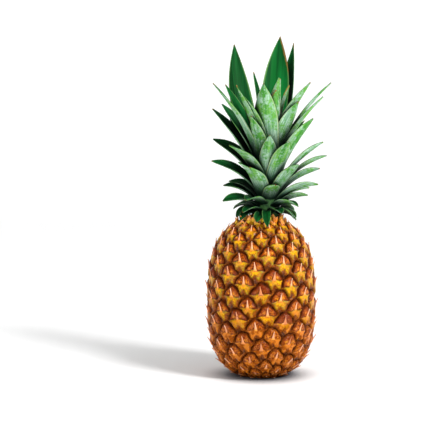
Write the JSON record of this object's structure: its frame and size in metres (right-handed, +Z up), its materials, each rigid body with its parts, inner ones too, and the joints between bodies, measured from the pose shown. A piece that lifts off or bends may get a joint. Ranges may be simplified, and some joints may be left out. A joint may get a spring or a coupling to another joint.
{
  "type": "pineapple",
  "caption": "Whole ripe pineapple with its leafy crown, standing upright on its flat base.",
  "frame": {"origin": "centre of the flat spot that the fruit stands on, on the cut face of the stalk", "axes": "+Z up along the fruit towards the tip of the crown, -Y towards the viewer of the picture, +X to their right"},
  "size_m": [0.1352, 0.1194, 0.3661],
  "materials": {
    "fruit": "satin rind, yellow and rust brown",
    "stalk": "dry fibrous cut",
    "crown": "satin leaf, green with a pale bloom"
  },
  "bodies": {
    "root": {"fruit": "fruit", "stalk": "stalk", "crown": "crown"}
  },
  "joints": []
}
